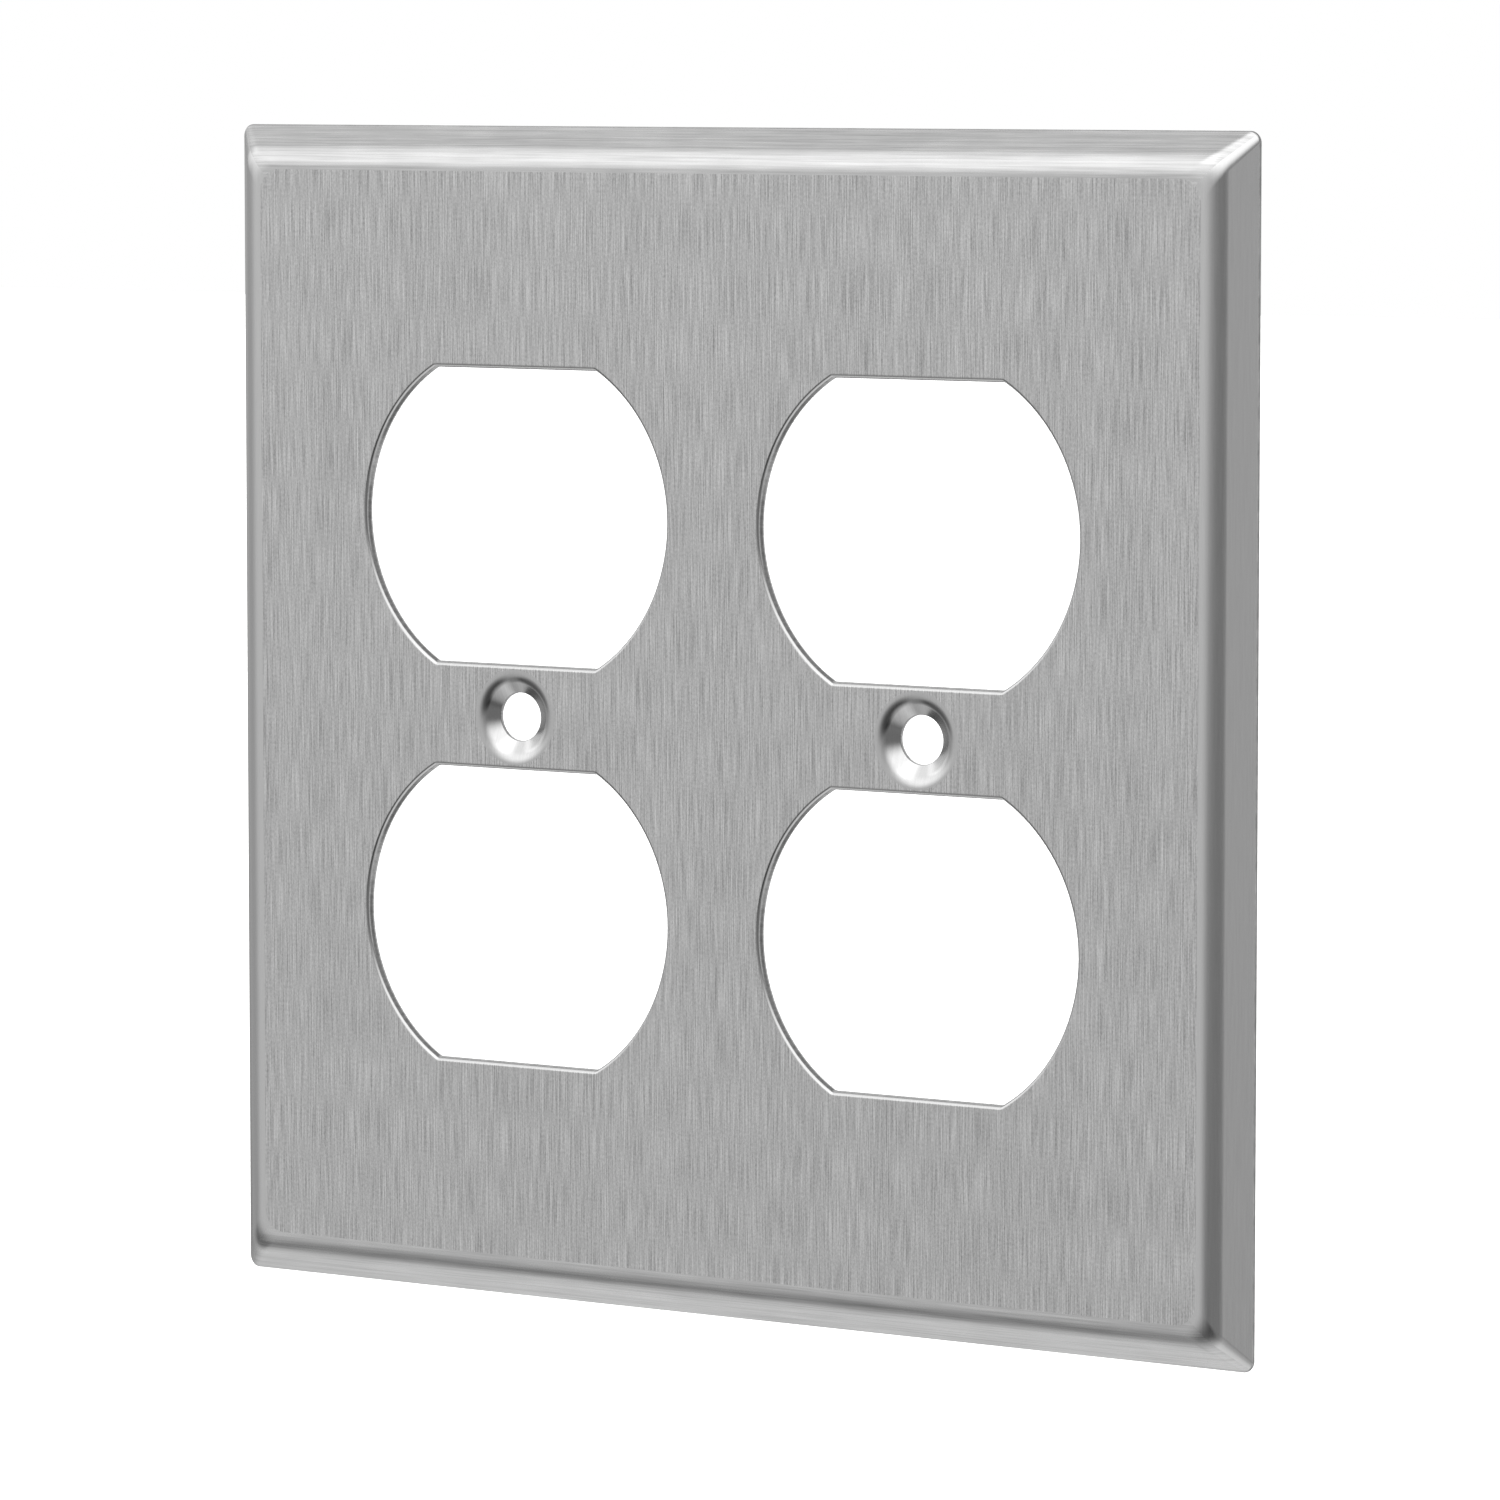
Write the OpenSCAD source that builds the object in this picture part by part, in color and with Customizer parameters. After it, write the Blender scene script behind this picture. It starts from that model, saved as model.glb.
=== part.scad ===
// Two-gang wall plate for two duplex receptacles, pressed from one sheet of stainless steel.
//
// The wall is the plane y = 0 and the face looks along -Y, with +Z up and +X to the right of
// someone facing the plate. The origin is the centre of the outline, on the wall.

/* [Outline] */
// Width of the plate over its bevels
plate_w = 115.9; // [110:0.1:125]
// Height of the plate over its bevels
plate_h = 114.3; // [110:0.1:125]
// How far the face stands off the wall
plate_depth = 3.7; // [3.4:0.1:6]
// Radius of the four plan corners, at the wall
corner_r = 1.0; // [0.4:0.1:3]

/* [Sheet] */
// Thickness of the sheet
sheet = 0.9; // [0.6:0.05:1.1]
// Angle between the face and the flat of a bevel
bevel_angle = 49; // [40:1:65]
// Outer radius of the bend between face and bevel
bend_r = 2.8; // [1.6:0.1:3]

/* [Receptacle openings] */
// Distance between the two columns of openings
column_spacing = 46.04; // [45.5:0.01:46.5]
// Distance between the two rows of openings
row_spacing = 38.9; // [38.5:0.1:39.5]
// Height of an opening, between its top and bottom flats
opening_h = 28.7; // [28:0.1:29.5]
// Radius of the round sides of an opening
opening_r = 16.6; // [16:0.05:17]
// Distance from an opening's centre to the centre of each round side
opening_offset = 1.05; // [0:0.05:1.5]

/* [Screw dimples] */
// Diameter of the hole for the mounting screw
screw_hole_d = 4.7; // [4:0.1:5]
// Diameter of the dimple where it meets the face
dimple_d = 9.3; // [8.5:0.1:9.6]
// Diameter where the lip ends and the cone that seats the screw's head begins
seat_d = 6.7; // [6.2:0.1:7.4]
// Depth of the lip below the face
lip_depth = 0.35; // [0.2:0.05:0.5]
// Depth of the whole dimple below the face, measured on its front side
dimple_depth = 1.0; // [0.8:0.1:1.5]

/* [Hidden] */
$fn = 96;

// Length by which every cutter runs past the surface that it cuts
over = 1;
// Number of straight steps that each bend and each plan corner is drawn with
bend_steps = 12;
corner_steps = 8;

steel = [0.66, 0.67, 0.68];

face_y = -plate_depth;
// Width of the ring, cut off flat, that the sheet's edge leaves on the wall
rim_w = sheet / sin(bevel_angle);

screw_hole_r = screw_hole_d / 2;
lip_slope = atan(2 * lip_depth / (dimple_d - seat_d));
seat_slope = atan(2 * (dimple_depth - lip_depth) / (seat_d - screw_hole_d));
// Depth below the face of the flat ring round the hole, behind each dimple
dimple_back_depth = dimple_depth + sheet;

// Points of an arc about centre c, from angle a0 to angle a1, both ends included
function arc(c, r, a0, a1, steps) = [
    for (i = [0 : steps]) let (a = a0 + (a1 - a0) * i / steps) c + r * [cos(a), sin(a)]
];

// A rounded rectangle's outline
function rounded_rect(w, h, r) = [
    for (q = [0 : 3])
        let (sx = (q == 0 || q == 3) ? 1 : -1, sz = q < 2 ? 1 : -1)
            each arc([sx * (w / 2 - r), sz * (h / 2 - r)], r, 90 * q, 90 * q + 90, corner_steps)
];

// Half of a section through two opposite bevels, from the wall to the face. The first number is the
// distance from the middle of the plate and the second is y.
function half_section(half_w, depth, r) =
    let (tangent_run = depth / tan(bevel_angle) + r * tan(bevel_angle / 2))
    concat(
        [[half_w, over], [half_w, 0]],
        arc([half_w - tangent_run, r - depth], r, bevel_angle - 90, -90, bend_steps)
    );

// The whole section: the half and its mirror image
function section(half_w, depth, r) =
    let (half = half_section(half_w, depth, r), last = len(half) - 1)
    concat(half, [for (i = [last : -1 : 0]) [-half[i][0], half[i][1]]]);

// Point of the sheet's underside that lies behind a crease between slopes a and b. Distances
// are from the dimple's axis, and depths are below the face.
function behind_crease(r, depth, a, b) =
    [r, depth] + sheet * [sin(a) + sin(b), cos(a) + cos(b)] / (1 + cos(b - a));

// A solid block with bevels on four sides: the outer shape of the plate, or the shape of its hollow
module bevelled_block(w, h, depth, r) {
    intersection() {
        // Section across the width, run along the height
        linear_extrude(height = h + 2 * over, center = true)
            polygon(section(w / 2, depth, r));
        // Section across the height, run along the width
        rotate([90, 0, 90])
            linear_extrude(height = w + 2 * over, center = true)
                polygon([for (p = section(h / 2, depth, r)) [p[1], p[0]]]);
    }
}

// A block of the plan outline, standing on the wall
module outline_block() {
    rotate([90, 0, 0])
        linear_extrude(height = plate_depth + over)
            polygon(rounded_rect(plate_w, plate_h, corner_r));
}

// The pressed sheet without any holes: a shallow pan with four bevelled sides
module pan() {
    difference() {
        intersection() {
            bevelled_block(plate_w, plate_h, plate_depth, bend_r);
            outline_block();
        }
        bevelled_block(
            plate_w - 2 * rim_w,
            plate_h - 2 * rim_w,
            plate_depth - sheet,
            bend_r - sheet
        );
    }
}

// Outline of one receptacle opening: two round sides between two flats
module opening_outline() {
    intersection() {
        union() {
            translate([opening_offset, 0]) circle(r = opening_r);
            translate([-opening_offset, 0]) circle(r = opening_r);
        }
        square([4 * opening_r, opening_h], center = true);
    }
}

module opening_cutter() {
    rotate([90, 0, 0])
        linear_extrude(height = 2 * plate_depth + 2 * over, center = true)
            opening_outline();
}

// Turns a section of radius and depth below the face about a screw's axis
module turned_below_face(points) {
    translate([0, face_y, 0])
        rotate([-90, 0, 0])
            rotate_extrude()
                polygon(points);
}

// The metal that a dimple pushes out behind the face
module dimple_metal() {
    turned_below_face([
        [0, sheet / 2],
        [dimple_d / 2 + sheet, sheet / 2],
        [dimple_d / 2 + sheet, sheet],
        behind_crease(dimple_d / 2, 0, 0, lip_slope),
        behind_crease(seat_d / 2, lip_depth, lip_slope, seat_slope),
        [screw_hole_r + sheet * tan(seat_slope / 2), dimple_back_depth],
        [0, dimple_back_depth]
    ]);
}

// The dish that a dimple leaves in front
module dimple_dish() {
    turned_below_face([
        [0, -over],
        [dimple_d / 2, -over],
        [dimple_d / 2, 0],
        [seat_d / 2, lip_depth],
        [screw_hole_r, dimple_depth],
        [0, dimple_depth]
    ]);
}

module screw_hole() {
    rotate([90, 0, 0])
        cylinder(h = 2 * plate_depth + 2 * over, r = screw_hole_r, center = true);
}

// Puts its children at each column of openings
module at_columns() {
    for (side = [-1, 1])
        translate([side * column_spacing / 2, 0, 0]) children();
}

module wall_plate() {
    color(steel)
        difference() {
            union() {
                pan();
                at_columns() dimple_metal();
            }
            at_columns() {
                for (row = [-1, 1])
                    translate([0, 0, row * row_spacing / 2]) opening_cutter();
                dimple_dish();
                screw_hole();
            }
        }
}

wall_plate();
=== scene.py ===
"""Looks of the two-gang wall plate: one pressed sheet of brushed stainless steel, in a light tent.

The plate's wall is the plane y = 0 and its face looks along -Y. Lengths are in millimetres until
a mesh is made, where MM turns them into metres.
"""
import math

import bpy
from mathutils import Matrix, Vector
from mathutils.geometry import delaunay_2d_cdt


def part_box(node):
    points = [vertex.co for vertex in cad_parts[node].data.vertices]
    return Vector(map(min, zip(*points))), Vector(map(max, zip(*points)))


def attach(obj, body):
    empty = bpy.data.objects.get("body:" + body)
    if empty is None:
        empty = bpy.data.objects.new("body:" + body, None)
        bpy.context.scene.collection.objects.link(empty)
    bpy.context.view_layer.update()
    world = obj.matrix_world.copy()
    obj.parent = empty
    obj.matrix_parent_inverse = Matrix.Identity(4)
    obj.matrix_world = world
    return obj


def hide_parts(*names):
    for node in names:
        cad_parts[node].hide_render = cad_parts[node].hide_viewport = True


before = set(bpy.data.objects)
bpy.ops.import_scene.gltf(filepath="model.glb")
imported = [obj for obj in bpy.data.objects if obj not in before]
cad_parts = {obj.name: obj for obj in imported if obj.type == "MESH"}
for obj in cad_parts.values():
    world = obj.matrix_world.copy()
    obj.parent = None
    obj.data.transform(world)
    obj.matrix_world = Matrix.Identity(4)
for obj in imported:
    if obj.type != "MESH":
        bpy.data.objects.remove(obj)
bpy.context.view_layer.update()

MM = 0.001
HALF_TURN = math.pi
QUARTER_TURN = math.pi / 2

# ---------------------------------------------------------------- sizes, as in the CAD model
PLATE_LOW, PLATE_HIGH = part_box("wall_plate")
PLAY = 0.001             # keeps the mesh just inside the CAD model's box
HALF_W = PLATE_HIGH.x / MM - PLAY
HALF_H = PLATE_HIGH.z / MM - PLAY
FACE_Y = PLATE_LOW.y / MM + PLAY
SHEET = 0.9
BACK_Y = FACE_Y + SHEET
BEVEL_TILT = math.radians(49)
BEND_R = 2.8

COLUMN_X = 46.04 / 2
ROW_Z = 38.9 / 2
OPENING_HALF_H = 28.7 / 2
OPENING_R = 16.6
OPENING_OFFSET = 1.05

SCREW_HOLE_R = 4.7 / 2
DIMPLE_R = 9.3 / 2
DIMPLE_DEPTH = 1.0
DIMPLE_TILT = math.radians(33)

# ---------------------------------------------------------------- details that only show
# Corners of the plate
FACE_CORNER_R = 2.2      # plan radius of the soft ridge between two bevels, where it leaves the face
FOOT_CORNER_R = 1.1      # the same ridge at the wall
INNER_CORNER_R = 0.4     # corners of the sheet's back
RIM_EDGE_R = 0.35        # outer edge of the rim, where the sheet was trimmed

# Edge of an opening, from the front to the back
OPENING_CORNER_R = 0.7   # plan radius where an opening's flats meet its round sides
PUNCH_START = 0.44       # where the roll-over starts, outside the opening's outline
PUNCH_ROLL_R = 0.41      # roll-over that the punch leaves on the front
ROLL_POLISH_TILT = math.radians(15)     # slope of the roll-over where the face's brush marks end
ROLL_END_TILT = math.radians(55)        # slope from which the roll-over has the cut edge's darker grey: painted shade along the openings' edges
PUNCH_TILT = math.radians(76)           # slope of the sheared part
SHEARED = 0.3            # depth of the sheared part; below it the steel broke away from the punch
BREAK_TILT = math.radians(101)          # slope of the part that broke away

# Screw holes
HOLE_EDGE_R = 0.12       # edge between a dimple and its hole
HOLE_LAND = 0.35         # share of the hole's depth that is straight; the rest opens towards the back
HOLE_FLARE = math.radians(38)           # angle at which it opens
HOLE_BACK_RING = 0.2     # flat ring round the hole, at the back

# ---------------------------------------------------------------- zones of the sheet, one material each
# PRESSED is smooth metal: the dimples and the roll-over of the openings
# The cut edge zone is the cut steel in a darker grey, and also the outer part of the openings' roll-over,
# where that darker grey is painted shade
FACE, LEVEL_BEVEL, SIDE_BEVEL, PRESSED, CUT_EDGE_AND_SHADE, BACK = range(6)

GRAIN_OVERLAP = 0.3      # strip of the face, along its edges, that is brushed with the bevels
GRAIN_TILT = math.radians(25)           # slope of the plane that the bevels' grain is laid out on
LEVEL_GRAIN_SHIFT = 500  # sets the level bevels' marks apart from each other's and the face's
EDGE_GRAIN_STEP = 0.8    # how far the grain goes on from one step round a cut edge to the next


# ---------------------------------------------------------------- sections
class Stop:
    """A place on a section, and the zone of what comes next."""

    def __init__(self, offset, y, tilt, travelled, zone):
        self.offset = offset
        self.y = y
        self.tilt = tilt
        self.travelled = travelled
        self.zone = zone

    def is_at(self, other):
        return self.offset == other.offset and self.y == other.y


class Section:
    """A walk along a section of the sheet, seen along one of its edges.

    It goes from the face, over the edge, to the back. The tilt is the angle from the face's normal
    to the surface's, and the offset is measured along the face. Two stops at one place are a crease.
    """

    def __init__(self, zone):
        self.stops = [Stop(0.0, FACE_Y, 0.0, 0.0, zone)]

    @property
    def here(self):
        return self.stops[-1]

    def step(self, offset, y, travelled, tilt):
        """Adds a stop that far from the last one, with that tilt."""
        here = self.here
        self.stops.append(
            Stop(here.offset + offset, here.y + y, tilt, here.travelled + travelled, here.zone))

    def line(self, length, steps=1):
        """Straight on for that length."""
        tilt = self.here.tilt
        part = length / steps
        for _ in range(steps):
            self.step(part * math.cos(tilt), part * math.sin(tilt), part, tilt)

    def arc(self, radius, tilt, steps):
        """A bend to that tilt. A negative radius bends the other way."""
        first = self.here.tilt
        for i in range(1, steps + 1):
            start = self.here.tilt
            end = first + (tilt - first) * i / steps
            self.step(radius * (math.sin(end) - math.sin(start)),
                      radius * (math.cos(start) - math.cos(end)),
                      abs(radius * (end - start)),
                      end)

    def crease(self, tilt):
        """A sharp bend to that tilt."""
        self.step(0.0, 0.0, 0.0, tilt)

    def set_zone(self, zone):
        """The zone from here on."""
        self.here.zone = zone

    def stops_from(self, origin):
        """The stops, with their offsets measured from that offset."""
        for stop in self.stops:
            stop.offset -= origin
        return self.stops


def rim_section():
    """From the face, over the bevel and the trimmed edge, to the back of the face."""
    cos_t, sin_t = math.cos(BEVEL_TILT), math.sin(BEVEL_TILT)
    inner_r = BEND_R - SHEET
    flat = (-FACE_Y - BEND_R * (1 - cos_t) - RIM_EDGE_R * (1 + cos_t)) / sin_t
    inner_flat = (-BACK_Y - inner_r * (1 - cos_t)) / sin_t
    walk = Section(LEVEL_BEVEL)
    walk.line(GRAIN_OVERLAP)
    walk.arc(BEND_R, BEVEL_TILT, steps=16)
    walk.line(flat, steps=6)
    walk.set_zone(CUT_EDGE_AND_SHADE)
    walk.arc(RIM_EDGE_R, HALF_TURN, steps=6)
    walk.line(SHEET / sin_t - RIM_EDGE_R / math.tan(BEVEL_TILT / 2))
    walk.set_zone(BACK)
    walk.crease(HALF_TURN + BEVEL_TILT)
    walk.line(inner_flat, steps=4)
    walk.arc(-inner_r, HALF_TURN, steps=10)
    return walk.stops_from(max(stop.offset for stop in walk.stops))


def opening_section():
    """From the face, over the punched edge, to the back of the face. The offset grows into the hole."""
    walk = Section(FACE)
    walk.arc(PUNCH_ROLL_R, ROLL_POLISH_TILT, steps=2)
    walk.set_zone(PRESSED)
    walk.arc(PUNCH_ROLL_R, ROLL_END_TILT, steps=5)
    # From here on the cut edge's darker grey: painted shade on the rest of the roll-over, then the cut
    # steel
    walk.set_zone(CUT_EDGE_AND_SHADE)
    walk.arc(PUNCH_ROLL_R, PUNCH_TILT, steps=2)
    walk.line(SHEARED / math.sin(PUNCH_TILT))
    walk.crease(BREAK_TILT)
    walk.line((BACK_Y - walk.here.y) / math.sin(BREAK_TILT))
    walk.set_zone(BACK)
    walk.crease(HALF_TURN)
    return walk.stops_from(PUNCH_START)


def dimple_section():
    """From the face, down the dimple's cone, through the screw hole, to the back of the face."""
    cos_t, sin_t = math.cos(DIMPLE_TILT), math.sin(DIMPLE_TILT)
    # The lip's arc and the cone's line together make this run and the dimple's depth
    run = DIMPLE_R - SCREW_HOLE_R - HOLE_EDGE_R * (1 - sin_t)
    lip_slope = math.tan(DIMPLE_TILT / 2)
    cone = (DIMPLE_DEPTH - run * lip_slope) / (sin_t - cos_t * lip_slope)
    lip_r = (run - cone * cos_t) / sin_t
    back_lip_r = lip_r - SHEET
    bore = SHEET - HOLE_EDGE_R * cos_t
    walk = Section(PRESSED)
    walk.arc(lip_r, DIMPLE_TILT, steps=12)
    walk.line(cone, steps=4)
    walk.set_zone(CUT_EDGE_AND_SHADE)
    walk.arc(HOLE_EDGE_R, QUARTER_TURN, steps=4)
    walk.line(bore * HOLE_LAND)
    hole_wall = walk.here.offset
    walk.crease(QUARTER_TURN + HOLE_FLARE)
    walk.line(bore * (1 - HOLE_LAND) / math.cos(HOLE_FLARE))
    walk.set_zone(BACK)
    walk.crease(HALF_TURN)
    walk.line(HOLE_BACK_RING)
    walk.crease(HALF_TURN + DIMPLE_TILT)
    walk.line((walk.here.y - BACK_Y - back_lip_r * (1 - cos_t)) / sin_t, steps=4)
    walk.arc(-back_lip_r, HALF_TURN, steps=10)
    return walk.stops_from(hole_wall)


# ---------------------------------------------------------------- outlines, as seen from the front
SIDE_STEPS = 26          # along each side of the plate
CORNER_STEPS = 14        # round each corner of the plate
ROUND_STEPS = 20         # along half of an opening's round side
BLEND_STEPS = 6          # round each corner of an opening
FLAT_STEPS = 10          # along half of an opening's flat
DIMPLE_STEPS = 72        # round a dimple


def plate_outline(offset, corner_r):
    """(x, z, direction out, side) round the plate. Sides are 0 right, 1 top, 2 left and 3 bottom."""
    w, h = HALF_W + offset - corner_r, HALF_H + offset - corner_r
    centres = [(w, -h), (w, h), (-w, h), (-w, -h)]
    points = []
    for side in range(4):
        start = side * QUARTER_TURN
        a, b = centres[side], centres[(side + 1) % 4]
        out = (math.cos(start), math.sin(start))
        for i in range(SIDE_STEPS):
            f = i / SIDE_STEPS
            points.append((a[0] + (b[0] - a[0]) * f + corner_r * out[0],
                           a[1] + (b[1] - a[1]) * f + corner_r * out[1],
                           start, side))
        for i in range(CORNER_STEPS):
            turn = start + QUARTER_TURN * i / CORNER_STEPS
            near = side if i < CORNER_STEPS / 2 else (side + 1) % 4
            points.append((b[0] + corner_r * math.cos(turn),
                           b[1] + corner_r * math.sin(turn),
                           turn, near))
    return points


def opening_outline(offset, centre):
    """(x, z, direction out, 0) round an opening, where a positive offset is towards its middle."""
    corner_z = OPENING_HALF_H - OPENING_CORNER_R
    round_r = OPENING_R - OPENING_CORNER_R
    corner_x = OPENING_OFFSET + math.sqrt(round_r ** 2 - corner_z ** 2)
    side_turn = math.atan2(corner_z, corner_x - OPENING_OFFSET)
    # Centre and radius of the arc that each point lies on, and the point's direction from it
    quarter = [(OPENING_OFFSET, 0.0, OPENING_R, side_turn * i / ROUND_STEPS)
               for i in range(ROUND_STEPS + 1)]
    quarter += [(corner_x, corner_z, OPENING_CORNER_R,
                 side_turn + (QUARTER_TURN - side_turn) * i / BLEND_STEPS)
                for i in range(1, BLEND_STEPS + 1)]
    quarter += [(corner_x * (1 - i / FLAT_STEPS), corner_z, OPENING_CORNER_R, QUARTER_TURN)
                for i in range(1, FLAT_STEPS + 1)]
    # Mirror the quarter: left half of the top, then everything below
    top = quarter + [(-x, z, r, HALF_TURN - turn) for x, z, r, turn in reversed(quarter[:-1])]
    whole = top + [(x, -z, r, -turn) for x, z, r, turn in reversed(top[1:-1])]
    return [(centre[0] + x + (r - offset) * math.cos(turn),
             centre[1] + z + (r - offset) * math.sin(turn),
             turn, 0) for x, z, r, turn in whole]


def hole_outline(offset, centre):
    """(x, z, direction out, 0) round a screw hole, where a positive offset is towards its middle."""
    points = []
    for i in range(DIMPLE_STEPS):
        turn = 2 * HALF_TURN * i / DIMPLE_STEPS
        points.append((centre[0] + (SCREW_HOLE_R - offset) * math.cos(turn),
                       centre[1] + (SCREW_HOLE_R - offset) * math.sin(turn),
                       turn, 0))
    return points


# ---------------------------------------------------------------- the sheet under construction
class Sheet:
    """Vertices in millimetres, and for each face its corners' normals and grain coordinates."""

    def __init__(self):
        self.points, self.faces, self.normals, self.grain, self.zones = [], [], [], [], []

    def add_points(self, points):
        first = len(self.points)
        self.points.extend(points)
        return list(range(first, len(self.points)))

    def add_face(self, corners, normals, grain, zone):
        """Adds a face, turned so that it looks the way its normals do."""
        p = [Vector(self.points[i]) for i in corners]
        if (p[2] - p[0]).cross(p[-1] - p[1]).dot(sum(normals, Vector())) < 0:
            corners, normals, grain = corners[::-1], normals[::-1], grain[::-1]
        self.faces.append(corners)
        self.normals.extend(normals)
        self.grain.extend(grain)
        self.zones.append(zone)

    def to_object(self, name, materials):
        mesh = bpy.data.meshes.new(name)
        mesh.from_pydata([Vector(p) * MM for p in self.points], [], self.faces)
        grain = mesh.uv_layers.new(name="grain")
        for loop, uv in zip(grain.data, self.grain):
            loop.uv = uv
        for polygon, zone in zip(mesh.polygons, self.zones):
            polygon.use_smooth = True
            polygon.material_index = zone
        for material in materials:
            mesh.materials.append(material)
        mesh.validate(clean_customdata=False)
        mesh.normals_split_custom_set(self.normals)
        mesh.update()
        piece = bpy.data.objects.new(name, mesh)
        bpy.context.scene.collection.objects.link(piece)
        return piece


def ridge_normal(tilt, turn, widening):
    """Normal on a bevel. The ridge's plan radius grows by widening for each unit of the walk."""
    inside = turn % QUARTER_TURN
    both = math.cos(inside) + math.sin(inside)
    depth = (widening - math.cos(tilt)) * both - widening
    normal = Vector((math.sin(tilt) * math.cos(turn), depth, math.sin(tilt) * math.sin(turn)))
    return normal.normalized()


def hole_normal(tilt, turn):
    """Normal on the edge of a hole, which tilts towards the hole's middle."""
    return Vector((-math.sin(tilt) * math.cos(turn), -math.cos(tilt), -math.sin(tilt) * math.sin(turn)))


def grain_of(zone, side, x, y, z, travelled, around):
    """Grain coordinates in millimetres: the first runs across the brush marks, the second along them."""
    sign = 1 if side < 2 else -1
    deep = (y - FACE_Y) * math.sin(GRAIN_TILT)
    if zone == LEVEL_BEVEL:
        return (z * math.cos(GRAIN_TILT) + sign * (deep + LEVEL_GRAIN_SHIFT), x)
    if zone == SIDE_BEVEL:
        return (x + sign * (deep - (abs(x) - HALF_W) * (1 - math.cos(GRAIN_TILT))), z)
    if zone == CUT_EDGE_AND_SHADE:
        return (around, travelled)
    return (x, z)


def loft(sheet, stops, outline_at, normal_at):
    """Skins the stops of a section round an outline. Returns the first and the last ring."""
    outlines = [outline_at(stop) for stop in stops]
    rings = []
    for i, stop in enumerate(stops):
        if i and stop.is_at(stops[i - 1]):
            rings.append(rings[-1])
        else:
            rings.append(sheet.add_points([(x, stop.y, z) for x, z, _, _ in outlines[i]]))
    count = len(rings[0])
    for i in range(len(stops) - 1):
        if rings[i] is rings[i + 1]:
            continue
        for k in range(count):
            side = outlines[i][k][3]
            zone = stops[i].zone
            if zone == LEVEL_BEVEL and side % 2 == 0:
                zone = SIDE_BEVEL
            corners, normals, grain = [], [], []
            for j, m in ((i, k), (i, k + 1), (i + 1, k + 1), (i + 1, k)):
                stop = stops[j]
                x, z, turn, _ = outlines[j][m % count]
                corners.append(rings[j][m % count])
                normals.append(normal_at(stop, turn))
                around = m * EDGE_GRAIN_STEP
                grain.append(grain_of(zone, side, x, stop.y, z, stop.travelled, around))
            sheet.add_face(corners, normals, grain, zone)
    return rings[0], rings[-1]


FILL_SPACING = 3.0       # between the points that a flat area is filled with
EDGE_GAP = 0.6           # from them to the outer ring, as a share of the spacing
HOLE_GAP = 0.55          # from them to the holes, as a share of the spacing


def fill(sheet, outer, holes, normal, zone):
    """Fills the plane between an outer ring and the rings of the holes with even triangles."""
    rings = [outer] + holes
    loops = [[Vector((sheet.points[i][0], sheet.points[i][2])) for i in ring] for ring in rings]
    discs = [(sum(loop, Vector((0, 0))) / len(loop), loop) for loop in loops[1:]]
    flat, edges, owners = [], [], []
    for ring, loop in zip(rings, loops):
        first = len(flat)
        flat.extend(loop)
        owners.extend(ring)
        edges.extend((first + i, first + (i + 1) % len(loop)) for i in range(len(loop)))

    def in_hole(p, margin):
        for middle, loop in discs:
            to_point = p - middle
            if to_point.length < 1e-9:
                return True
            towards = to_point.normalized()
            reach = max(loop, key=lambda q: (q - middle).normalized().dot(towards))
            if to_point.length < (reach - middle).length + margin:
                return True
        return False

    half_x = max(p.x for p in loops[0]) - FILL_SPACING * EDGE_GAP
    half_z = max(p.y for p in loops[0]) - FILL_SPACING * EDGE_GAP
    nx, nz = round(half_x / FILL_SPACING), round(half_z / FILL_SPACING)
    y = sheet.points[outer[0]][1]
    for i in range(-nx, nx + 1):
        for j in range(-nz, nz + 1):
            p = Vector((half_x * i / nx, half_z * j / nz))
            if not in_hole(p, FILL_SPACING * HOLE_GAP):
                flat.append(p)
                owners.extend(sheet.add_points([(p.x, y, p.y)]))
    _, _, triangles, origins, _, _ = delaunay_2d_cdt(flat, edges, [], 0, 1e-7)
    for triangle in triangles:
        ids = [origins[v][0] for v in triangle]
        middle = sum((flat[i] for i in ids), Vector((0, 0))) / 3
        if in_hole(middle, 0.0):
            continue
        sheet.add_face([owners[i] for i in ids], [normal] * 3, [tuple(flat[i]) for i in ids], zone)


def build_sheet():
    sheet = Sheet()
    rim = rim_section()
    bevel_length = next(stop.travelled for stop in rim if stop.zone == CUT_EDGE_AND_SHADE)
    taper = (FOOT_CORNER_R - FACE_CORNER_R) / bevel_length

    def rim_outline(stop):
        if stop.zone == BACK:
            return plate_outline(stop.offset, INNER_CORNER_R)
        return plate_outline(stop.offset, FACE_CORNER_R + taper * min(stop.travelled, bevel_length))

    def rim_normal(stop, turn):
        return ridge_normal(stop.tilt, turn, taper if stop.travelled <= bevel_length else 0.0)

    front, back = loft(sheet, rim, rim_outline, rim_normal)
    front_holes, back_holes = [], []

    def add_hole(stops, outline, centre):
        first, last = loft(sheet, stops, lambda stop: outline(stop.offset, centre),
                           lambda stop, turn: hole_normal(stop.tilt, turn))
        front_holes.append(first)
        back_holes.append(last)

    for sx in (-1, 1):
        for sz in (-1, 1):
            add_hole(opening_section(), opening_outline, (sx * COLUMN_X, sz * ROW_Z))
        add_hole(dimple_section(), hole_outline, (sx * COLUMN_X, 0.0))
    fill(sheet, front, front_holes, Vector((0, -1, 0)), FACE)
    fill(sheet, back, back_holes, Vector((0, 1, 0)), BACK)
    return sheet


# ---------------------------------------------------------------- nodes
def add_node(tree, kind, inputs, operation=None):
    """Adds a shader node. An input is a value, or another node's socket to link to it."""
    node = tree.nodes.new("ShaderNode" + kind)
    if operation:
        node.operation = operation
    for name, value in inputs.items():
        if isinstance(value, bpy.types.NodeSocket):
            tree.links.new(value, node.inputs[name])
        else:
            node.inputs[name].default_value = value
    return node


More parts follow.
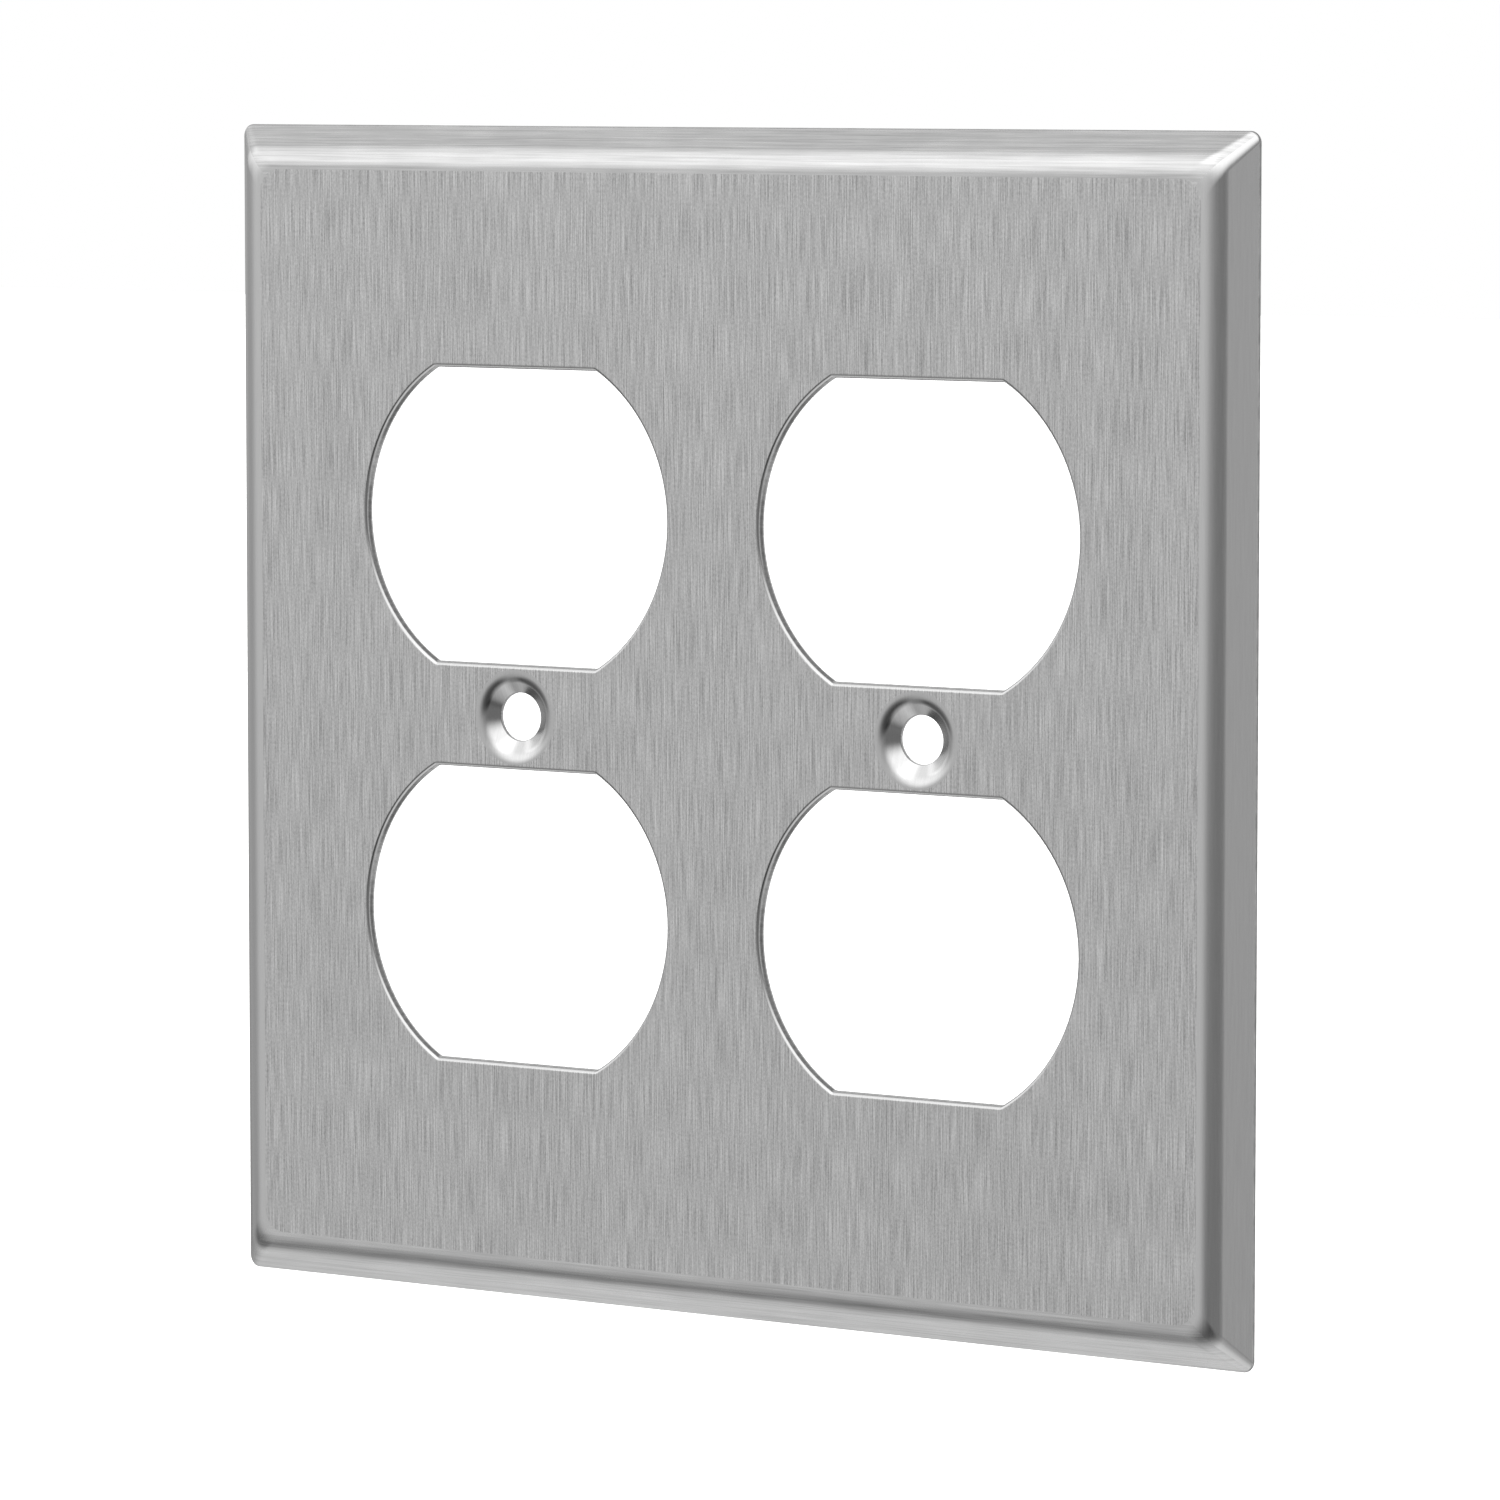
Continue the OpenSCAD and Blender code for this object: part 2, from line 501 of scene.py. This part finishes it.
def add_up(tree, sockets, start):
    """The sockets' sum, counted from start."""
    total = start
    for socket in sockets:
        total = add_node(tree, "Math", {0: socket, 1: total}, "ADD").outputs[0]
    return total


# ---------------------------------------------------------------- materials
ROUGHNESS_SPREAD = 0.15  # how far the marks take the roughness from its middle value, as a share


def around_middle(tree, marks, middle, share):
    """Turns marks, from -0.5 to 0.5, into values up to that share below and above the middle."""
    node = add_node(tree, "MapRange", {
        "Value": marks,
        "From Min": -0.5,
        "From Max": 0.5,
        "To Min": middle * (1 - share),
        "To Max": middle * (1 + share),
    })
    return node.outputs[0]


def steel(name, grey, roughness, anisotropy, streaks, contrast):
    """Brushed steel. Streaks are (marks per mm across, marks per mm along, strength) on the grain map."""
    material = bpy.data.materials.new(name)
    material.use_nodes = True
    tree = material.node_tree
    tree.nodes.clear()
    grain = add_node(tree, "UVMap", {})
    grain.uv_map = "grain"
    tangent = add_node(tree, "Tangent", {})
    tangent.direction_type = "UV_MAP"
    tangent.uv_map = "grain"
    layers = []
    for across, along, strength in streaks:
        place = add_node(tree, "VectorMath", {
            0: grain.outputs["UV"],
            1: (across, along, 1.0),
        }, "MULTIPLY")
        noise = add_node(tree, "TexNoise", {
            "Vector": place.outputs[0],
            "Scale": 1.0,
            "Detail": 2.0,
            "Roughness": 0.6,
        })
        noise.noise_dimensions = "2D"
        layer = add_node(tree, "Math", {
            0: noise.outputs[0],
            1: strength,
            2: -0.5 * strength,
        }, "MULTIPLY_ADD")
        layers.append(layer.outputs[0])
    marks = add_up(tree, layers, 0.0)
    shader = add_node(tree, "BsdfPrincipled", {
        "Base Color": around_middle(tree, marks, grey, contrast),
        "Metallic": 1.0,
        "Roughness": around_middle(tree, marks, roughness, ROUGHNESS_SPREAD),
        "Anisotropic": anisotropy,
        "Tangent": tangent.outputs["Tangent"],
    })
    add_node(tree, "OutputMaterial", {"Surface": shader.outputs["BSDF"]})
    return material


BRUSHED = [(8.0, 0.18, 1.0), (3.0, 0.06, 0.16), (0.25, 0.012, 0.1), (6.0, 3.5, 0.5)]
LINISHED = [(5.0, 0.08, 1.0), (1.5, 0.03, 0.6), (0.4, 0.15, 0.4)]
SPECKLED = [(3.0, 1.0, 1.0)]

# In the order of the zones: name, grey, roughness, anisotropy, brush marks and their contrast
MATERIALS = [
    steel("brushed_face", 0.55, 0.24, 0.5, BRUSHED, 0.60),
    steel("linished_bevel", 0.55, 0.26, 0.6, LINISHED, 0.25),
    steel("pressed_bevel", 0.60, 0.24, 0.4, BRUSHED, 0.05),
    steel("pressed_dimple", 0.54, 0.14, 0.0, BRUSHED, 0.08),
    # Darker grey of the cut steel, which is painted shade where it covers the openings' roll-over
    steel("cut_edge_and_painted_shade", 0.40, 0.15, 0.0, SPECKLED, 0.4),
    steel("brushed_back", 0.50, 0.32, 0.4, BRUSHED, 0.4),
]


# ---------------------------------------------------------------- studio
# Panels of the light tent as the steel sees them: azimuth and elevation of the middle, inner and outer
# angle of the soft edge, and radiance added. Azimuth 0 is straight out from the face, + to its right.
PANELS = [
    (-36, 5, 5, 45, 0.29),       # wide front fill, which the face mirrors
    (-44, 38, 15, 41, 0.92),     # softbox above the front: the bright band along the upper bend
    (-108, 57, 8, 26, 0.30),     # its left end, on the upper bevel
    (-84, 22, 6, 24, 0.65),      # lamp, upper left, in the dimples' lower right
    (22, 50, 10, 50, 1.30),      # lamp, upper right: the corner and the dimples' lower left
    (42, -4, 8, 40, -0.21),      # dark flag on the right, in the right-hand bend
    (88, 0, 8, 26, 0.46),        # light behind the flag, on the right-hand bevel
    (104, -32, 8, 26, 0.40),     # the same light, below
    (-1, -31, 13, 31, -0.36),    # dark gap in front of the table, in the dimples' upper left
    (19, -65, 10, 37, 0.56),     # light table below the front
    (-120, -58, 10, 40, 0.48),   # the table's left end, on the lower bevel
    (-48, -41, 3, 14, -0.13),    # narrow dark gap above the table, in the lower bend
    (-66, -26, 6, 22, -0.31),    # dark gap to the left, in the dimples' upper right
    (70, -38, 8, 26, 0.35),      # the table's right end, on the lower right corner
    (-138, -22, 8, 22, -0.38),   # dark gap behind, on the edges that look down
    (117, -4, 10, 24, -0.12),    # dark gap behind, on the edges that look right
    (150, -42, 12, 28, -0.15),   # the same gap, below
    (-150, 32, 12, 30, 0.40),    # light behind, on the edges that look up
    (176, -5, 20, 56, 0.50),     # rear fill
]
TENT_BASE = 0.45         # radiance of the tent where there is no panel
TENT_DARKEST = 0.03      # the dark panels take no more away than down to this
WHITE = (1, 1, 1, 1)

FLOOR_DROP = 0.06        # metres from the plate's foot to the floor: the plate hangs on its wall
FLOOR_HALF = 4.0         # half the floor's side, in metres
FLOOR_GREY = 0.9
FLOOR_ROUGHNESS = 0.9
KEY_STRENGTH = 2.6       # watts per square metre from overhead, on the floor
KEY_SPREAD = math.radians(70)
KEY_TILT = (math.radians(12), math.radians(-10), 0)

CAMERA_AZIMUTH = 33.57   # degrees, counted as for the panels
CAMERA_ELEVATION = 5.15
CAMERA_TARGET = Vector((1.9, 0.0, -2.2))
CAMERA_DISTANCE = 745
CAMERA_LENS = 187.0
CAMERA_SENSOR = 36.0
CAMERA_CLIP = (0.05, 50.0)              # metres


def direction(azimuth, elevation):
    """From the plate towards that azimuth and elevation, in degrees."""
    a, e = math.radians(azimuth), math.radians(elevation)
    return Vector((math.sin(a) * math.cos(e), -math.cos(a) * math.cos(e), math.sin(e)))


def build_world():
    """A tent that only the steel sees, and plain white behind the plate."""
    world = bpy.data.worlds.new("light_tent")
    bpy.context.scene.world = world
    world.use_nodes = True
    tree = world.node_tree
    tree.nodes.clear()
    coordinates = add_node(tree, "TexCoord", {})
    panels = []
    for azimuth, elevation, inner, outer, radiance in PANELS:
        towards = add_node(tree, "VectorMath", {
            0: coordinates.outputs["Generated"],
            1: direction(azimuth, elevation),
        }, "DOT_PRODUCT")
        panel = add_node(tree, "MapRange", {
            "Value": towards.outputs["Value"],
            "From Min": math.cos(math.radians(outer)),
            "From Max": math.cos(math.radians(inner)),
            "To Max": radiance,
        })
        panel.interpolation_type = "SMOOTHSTEP"
        panels.append(panel.outputs[0])
    total = add_up(tree, panels, TENT_BASE)
    lit = add_node(tree, "Math", {0: total, 1: TENT_DARKEST}, "MAXIMUM")
    tent = add_node(tree, "Background", {"Color": WHITE, "Strength": lit.outputs[0]})
    plain = add_node(tree, "Background", {"Color": WHITE, "Strength": 1.0})
    path = add_node(tree, "LightPath", {})
    mix = add_node(tree, "MixShader", {
        0: path.outputs["Is Camera Ray"],
        1: tent.outputs[0],
        2: plain.outputs[0],
    })
    add_node(tree, "OutputWorld", {"Surface": mix.outputs[0]})


def build_floor():
    """A pale floor and the light on it. The steel mirrors neither."""
    z = PLATE_LOW.z - FLOOR_DROP
    corners = [(sx * FLOOR_HALF, sy * FLOOR_HALF, z) for sx, sy in ((-1, -1), (1, -1), (1, 1), (-1, 1))]
    mesh = bpy.data.meshes.new("floor")
    mesh.from_pydata(corners, [], [(0, 1, 2, 3)])
    floor = bpy.data.objects.new("floor", mesh)
    bpy.context.scene.collection.objects.link(floor)
    material = bpy.data.materials.new("pale_floor")
    material.use_nodes = True
    shader = material.node_tree.nodes["Principled BSDF"]
    shader.inputs["Base Color"].default_value = (FLOOR_GREY, FLOOR_GREY, FLOOR_GREY, 1)
    shader.inputs["Roughness"].default_value = FLOOR_ROUGHNESS
    shader.inputs["Specular IOR Level"].default_value = 0.0
    mesh.materials.append(material)
    floor.visible_glossy = False
    key = bpy.data.lights.new("overhead_key", "SUN")
    key.energy = KEY_STRENGTH
    key.angle = KEY_SPREAD
    lamp = bpy.data.objects.new("overhead_key", key)
    lamp.rotation_euler = KEY_TILT
    lamp.visible_glossy = False
    bpy.context.scene.collection.objects.link(lamp)


def build_camera():
    forward = -direction(CAMERA_AZIMUTH, CAMERA_ELEVATION)
    data = bpy.data.cameras.new("camera")
    data.sensor_width = CAMERA_SENSOR
    data.lens = CAMERA_LENS
    data.clip_start, data.clip_end = CAMERA_CLIP
    camera = bpy.data.objects.new("camera", data)
    camera.location = (CAMERA_TARGET - forward * CAMERA_DISTANCE) * MM
    camera.rotation_mode = "QUATERNION"
    camera.rotation_quaternion = forward.to_track_quat("-Z", "Y")
    bpy.context.scene.collection.objects.link(camera)
    bpy.context.scene.camera = camera


build_world()
build_floor()
build_camera()
bpy.context.scene.view_settings.view_transform = "Standard"

plate = build_sheet().to_object("pressed_sheet", MATERIALS)
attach(plate, "root")
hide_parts("wall_plate")
